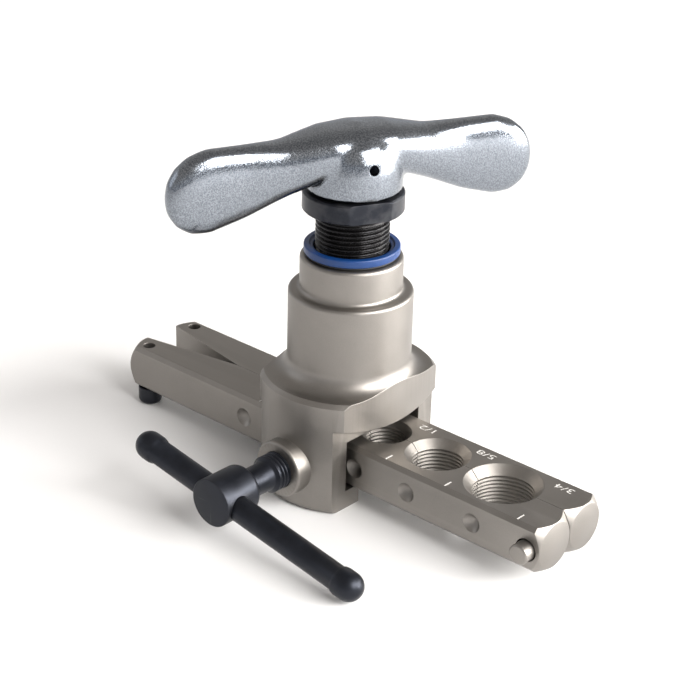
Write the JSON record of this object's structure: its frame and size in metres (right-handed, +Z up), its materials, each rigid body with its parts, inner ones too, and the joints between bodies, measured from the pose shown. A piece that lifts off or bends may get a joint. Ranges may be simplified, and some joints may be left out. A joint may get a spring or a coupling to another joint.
{
  "type": "flaring tool",
  "caption": "Hand flaring tool for copper tube: split die bar with tube holes, sliding yoke, screw-fed eccentric cone under a T handle, and a side clamp screw.",
  "frame": {"origin": "middle of the underside of the bounding box; the feed screw axis stands 0.70 mm toward -X and 2.95 mm toward +Y of it", "axes": "+X along the die bar toward its largest tube hole, +Y away from the clamp screw, +Z up along the feed screw toward the handle"},
  "size_m": [0.176, 0.1168, 0.1202],
  "materials": {
    "nickel_satin": "satin nickel-coloured finish",
    "handle_chrome": "satin chrome over a cast surface",
    "black_oxide": "oiled black oxide",
    "pin_steel": "turned bare steel",
    "bearing_steel": "ground and polished",
    "blue_plastic": "smooth blue",
    "black_rubber": "matt black"
  },
  "bodies": {
    "yoke": {"yoke_body": "nickel_satin", "seal_ring": "black_rubber", "wiper_ring": "blue_plastic"},
    "bar_rear": {"rear_die_half": "nickel_satin", "guide_pin": "pin_steel", "heel_dowel": "pin_steel", "rear_stop_pin": "black_oxide"},
    "bar_front": {"front_die_half": "nickel_satin", "front_stop_pin": "black_oxide"},
    "feed_race": {"thrust_race": "bearing_steel"},
    "feed_sleeve": {"feed_screw": "black_oxide", "clutch_collar": "black_oxide"},
    "drive": {"drive_shaft": "pin_steel", "handle": "handle_chrome", "handle_pin": "black_oxide", "clutch_plate": "pin_steel", "clutch_spring": "pin_steel", "clutch_ball_1": "bearing_steel", "clutch_ball_2": "bearing_steel", "clutch_ball_3": "bearing_steel", "thrust_ball_cage": "bearing_steel", "needle_cage": "bearing_steel", "cone_circlip": "pin_steel", "cone_pivot_ball": "bearing_steel"},
    "cone": {"flaring_cone": "bearing_steel"},
    "clamp_nose": {"clamp_pad": "pin_steel"},
    "clamp": {"clamp_screw": "black_oxide"},
    "tommy": {"tommy_bar": "black_oxide"}
  },
  "joints": [
    {"name": "bar_slide", "type": "slide", "parent": "yoke", "child": "bar_rear", "axis": [1, 0, 0], "range_m": [-0.0634, 0.0625]},
    {"name": "die_open", "type": "hinge", "parent": "bar_rear", "child": "bar_front", "pos_m": [-0.0501, 0.00295, 0.0139], "axis": [0, 0, -1], "range_deg": [0, 1.2]},
    {"name": "feed_travel", "type": "slide", "parent": "yoke", "child": "feed_race", "axis": [0, 0, 1], "range_m": [-0.0059, 0.003]},
    {"name": "feed_turn", "type": "hinge", "parent": "feed_race", "child": "feed_sleeve", "pos_m": [-0.0007, 0.00295, 0.0494], "axis": [0, 0, 1], "range_deg": [-1417, 721]},
    {"name": "handle_slip", "type": "hinge", "parent": "feed_sleeve", "child": "drive", "pos_m": [-0.0007, 0.00295, 0.1014], "axis": [0, 0, 1], "continuous": true},
    {"name": "cone_spin", "type": "hinge", "parent": "drive", "child": "cone", "pos_m": [-0.0007, 0.00175, 0.0314], "axis": [0, 0, 1], "continuous": true},
    {"name": "clamp_travel", "type": "slide", "parent": "yoke", "child": "clamp_nose", "axis": [0, -1, 0], "range_m": [-0.0049, 0.004]},
    {"name": "clamp_turn", "type": "hinge", "parent": "clamp_nose", "child": "clamp", "pos_m": [-0.0007, -0.03705, 0.014], "axis": [0, -1, 0], "range_deg": [-1009, 824]},
    {"name": "tommy_slide", "type": "slide", "parent": "clamp", "child": "tommy", "axis": [0.9866, 0, -0.1633], "range_m": [-0.0398, 0.0202]}
  ],
  "couplings": [
    {"joint": "feed_turn", "follows": "feed_travel", "rad_per_m": 4188.8},
    {"joint": "clamp_turn", "follows": "clamp_travel", "rad_per_m": 3590.4}
  ]
}
